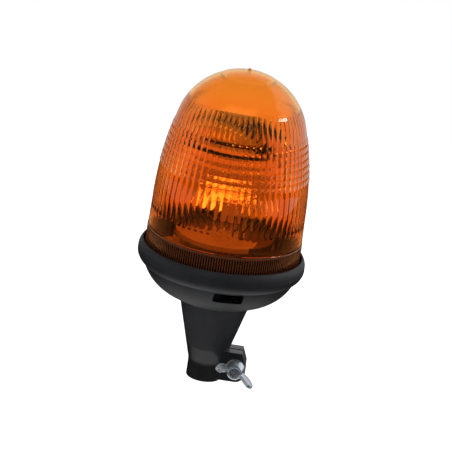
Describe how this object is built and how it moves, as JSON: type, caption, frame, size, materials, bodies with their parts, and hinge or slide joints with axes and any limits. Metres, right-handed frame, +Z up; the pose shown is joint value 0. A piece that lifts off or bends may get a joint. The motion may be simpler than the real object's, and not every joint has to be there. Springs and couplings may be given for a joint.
{
  "type": "rotating beacon",
  "caption": "Amber rotating-mirror beacon: a fluted dome lens on a black rubber bowl, with a flexible neck and a wing-nut clamp socket for a pole spigot.",
  "frame": {"origin": "centre of the spigot socket's mouth, where the pole enters", "axes": "+Z up along the beacon's axis, +X towards the clamp ears, -Y towards the wing nut"},
  "size_m": [0.1372, 0.1372, 0.2646],
  "materials": {
    "amber_lens": "moulded clear amber",
    "black_rubber": "matt moulded",
    "black_plastic": "satin moulded",
    "zinc_steel": "zinc plated",
    "ground_steel": "ground",
    "brass": "turned",
    "light_plastic": "moulded acetal",
    "ceramic": "glazed insulator",
    "mirror_coat": "vacuum metallised",
    "clear_glass": "clear quartz",
    "tungsten": "drawn wire",
    "capacitor_case": "dipped case",
    "lead_jacket": "insulated wire"
  },
  "bodies": {
    "clamp": {"clamp_socket": "black_plastic", "clamp_bolt": "zinc_steel", "contact_carrier": "black_plastic", "contact_spring": "zinc_steel", "earth_ring": "brass", "flexible_neck": "black_rubber", "supply_leads": "lead_jacket"},
    "washer": {"clamp_washer": "zinc_steel"},
    "nut": {"wing_nut": "zinc_steel"},
    "plunger": {"contact_plunger": "brass"},
    "head": {"neck_ring": "zinc_steel", "neck_ring_screws": "zinc_steel", "base_bowl": "black_rubber", "lens_seal": "black_rubber", "chassis_plate": "black_plastic", "shade_ring": "black_plastic", "chassis_screws": "zinc_steel", "motor_can": "zinc_steel", "motor_end_cap": "black_plastic", "motor_screws": "zinc_steel", "idler_axle": "ground_steel", "idler_clip": "zinc_steel", "bearing_post": "ground_steel", "post_nut": "zinc_steel", "thrust_washer": "ground_steel", "turntable_clip": "zinc_steel", "bulb_holder": "ceramic", "bulb_base": "brass", "bulb_glass": "clear_glass", "bulb_filament": "tungsten", "terminal_block": "black_plastic", "suppressor": "capacitor_case", "bulb_lead": "lead_jacket", "motor_leads": "lead_jacket"},
    "lens": {"lens_dome": "amber_lens"},
    "mirror": {"turntable": "light_plastic", "turntable_bush": "brass", "reflector": "mirror_coat", "reflector_bracket": "zinc_steel", "reflector_screws": "zinc_steel", "bracket_screws": "zinc_steel"},
    "idler": {"idler_gear": "light_plastic"},
    "drive": {"motor_shaft": "ground_steel", "motor_rotor": "ground_steel", "motor_pinion": "brass"},
    "clip": {"bulb_clip": "zinc_steel"}
  },
  "joints": [
    {"name": "neck_flex", "type": "hinge", "parent": "clamp", "child": "head", "pos_m": [0, 0, 0.052], "axis": [0, 1, 0], "range_deg": [-18, 18], "stiffness_Nm_per_rad": 12, "deforming": ["flexible_neck", "supply_leads"]},
    {"name": "reflector_spin", "type": "hinge", "parent": "head", "child": "mirror", "pos_m": [0, 0, 0.118], "axis": [0, 0, 1], "continuous": true},
    {"name": "idler_spin", "type": "hinge", "parent": "head", "child": "idler", "pos_m": [-0.03477, -0.00932, 0.118], "axis": [0, 0, 1], "continuous": true},
    {"name": "pinion_spin", "type": "hinge", "parent": "head", "child": "drive", "pos_m": [-0.01745, -0.01932, 0.1], "axis": [0, 0, 1], "continuous": true},
    {"name": "lens_twist", "type": "hinge", "parent": "head", "child": "lens", "pos_m": [0, 0, 0.106], "axis": [0, 0, 1], "range_deg": [0, 22]},
    {"name": "washer_slide", "type": "slide", "parent": "clamp", "child": "washer", "axis": [0, -1, 0], "range_m": [0, 0.004]},
    {"name": "wing_nut_turn", "type": "hinge", "parent": "washer", "child": "nut", "pos_m": [0.025, -0.0121, 0.01475], "axis": [0, -1, 0], "range_deg": [0, 1080]},
    {"name": "plunger_press", "type": "slide", "parent": "clamp", "child": "plunger", "axis": [0, 0, 1], "range_m": [0, 0.003], "stiffness_N_per_m": 600, "deforming": ["contact_spring"]},
    {"name": "bulb_clip_swing", "type": "hinge", "parent": "head", "child": "clip", "pos_m": [0.009, 0, 0.1539], "axis": [0, 1, 0], "range_deg": [0, 85]}
  ],
  "couplings": [
    {"joint": "idler_spin", "follows": "reflector_spin", "ratio": -5},
    {"joint": "pinion_spin", "follows": "reflector_spin", "ratio": 20},
    {"joint": "washer_slide", "follows": "wing_nut_turn", "m_per_rad": 0.00019894}
  ]
}
